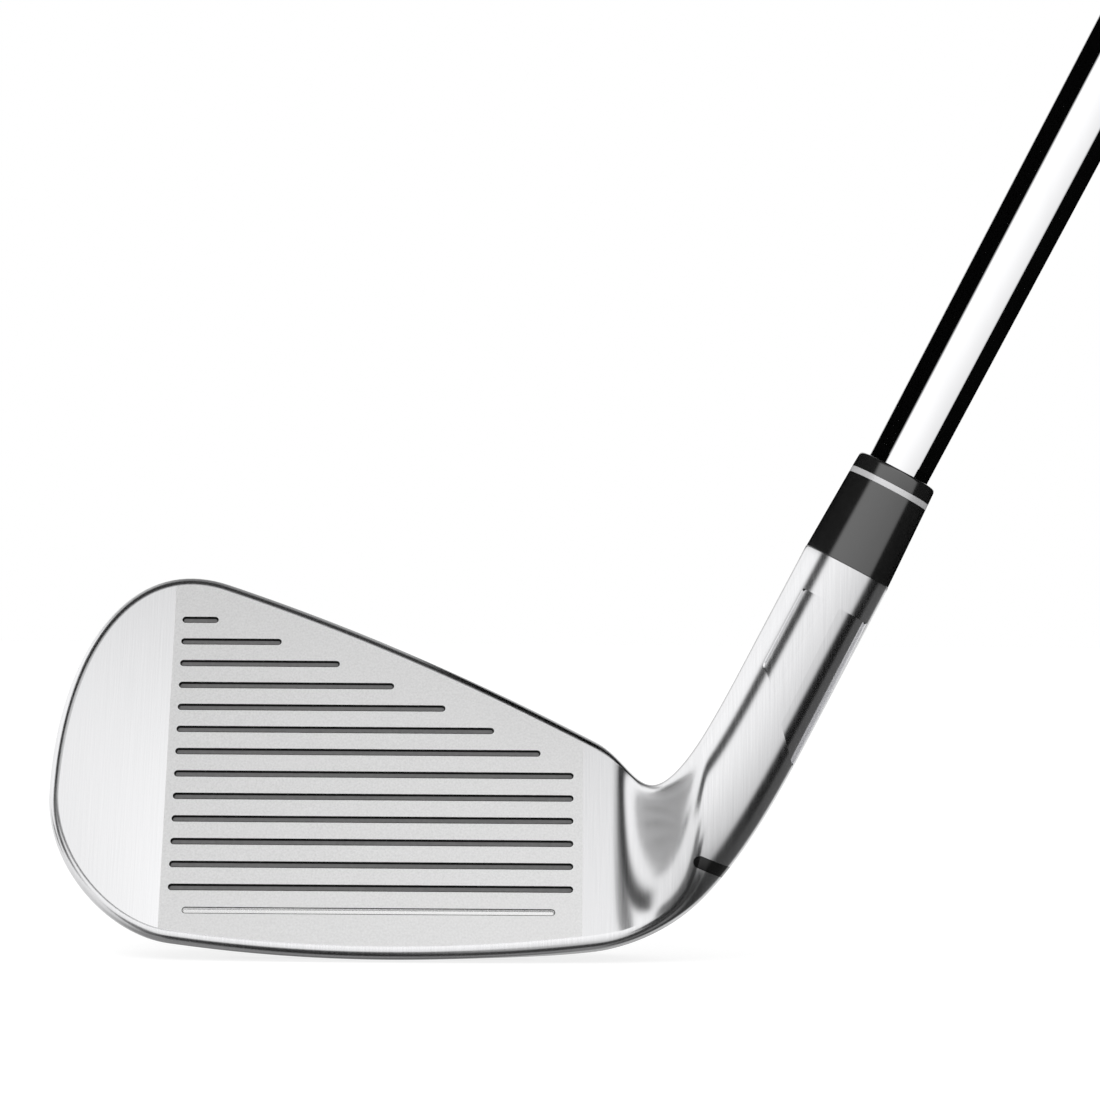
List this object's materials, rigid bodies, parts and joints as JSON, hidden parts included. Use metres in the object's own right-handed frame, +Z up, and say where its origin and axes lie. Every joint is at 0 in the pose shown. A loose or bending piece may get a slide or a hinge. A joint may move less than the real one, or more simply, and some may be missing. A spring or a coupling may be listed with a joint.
{
  "type": "iron golf club",
  "caption": "Right-handed mid-iron golf club: lofted blade with a grooved face, bonded back cap, fluted hosel, ferrule, stepped steel shaft and rubber grip, set down at address.",
  "frame": {"origin": "where the shaft's axis meets the ground at address, under the heel", "axes": "+X from the toe to the heel and on towards the grip, +Y from the strike face to the back of the head, +Z up"},
  "size_m": [0.5323, 0.0463, 0.8392],
  "materials": {
    "head_steel": "satin face, finely brushed toe and neck",
    "cap_metal": "dark brushed",
    "badge_enamel": "satin black, plain",
    "adhesive": "matt film",
    "damper_rubber": "matt",
    "tungsten": "bare metal",
    "insert_rubber": "matt",
    "inlay_black": "gloss black",
    "line_paint": "dark grey paint",
    "epoxy": "cured resin",
    "ferrule_black": "polished black",
    "ferrule_silver": "bright",
    "plug_brass": "bare metal",
    "shaft_chrome": "mirror chrome",
    "tape": "crepe paper tape",
    "grip_rubber": "matt, textured",
    "cap_rubber": "smooth satin"
  },
  "bodies": {
    "root": {"head_body": "head_steel", "back_cap": "cap_metal", "cap_badge": "badge_enamel", "cap_adhesive": "adhesive", "face_damper": "damper_rubber", "toe_weight": "tungsten", "sole_slot_insert": "insert_rubber", "heel_inlay": "inlay_black", "score_line_paint": "line_paint", "hosel_bond": "epoxy", "ferrule_sleeve": "ferrule_black", "ferrule_ring": "ferrule_silver", "ferrule_collar": "ferrule_black", "tip_weight": "plug_brass", "shaft": "shaft_chrome", "grip_tape": "tape", "grip_sleeve": "grip_rubber", "grip_cap": "cap_rubber"}
  },
  "joints": []
}
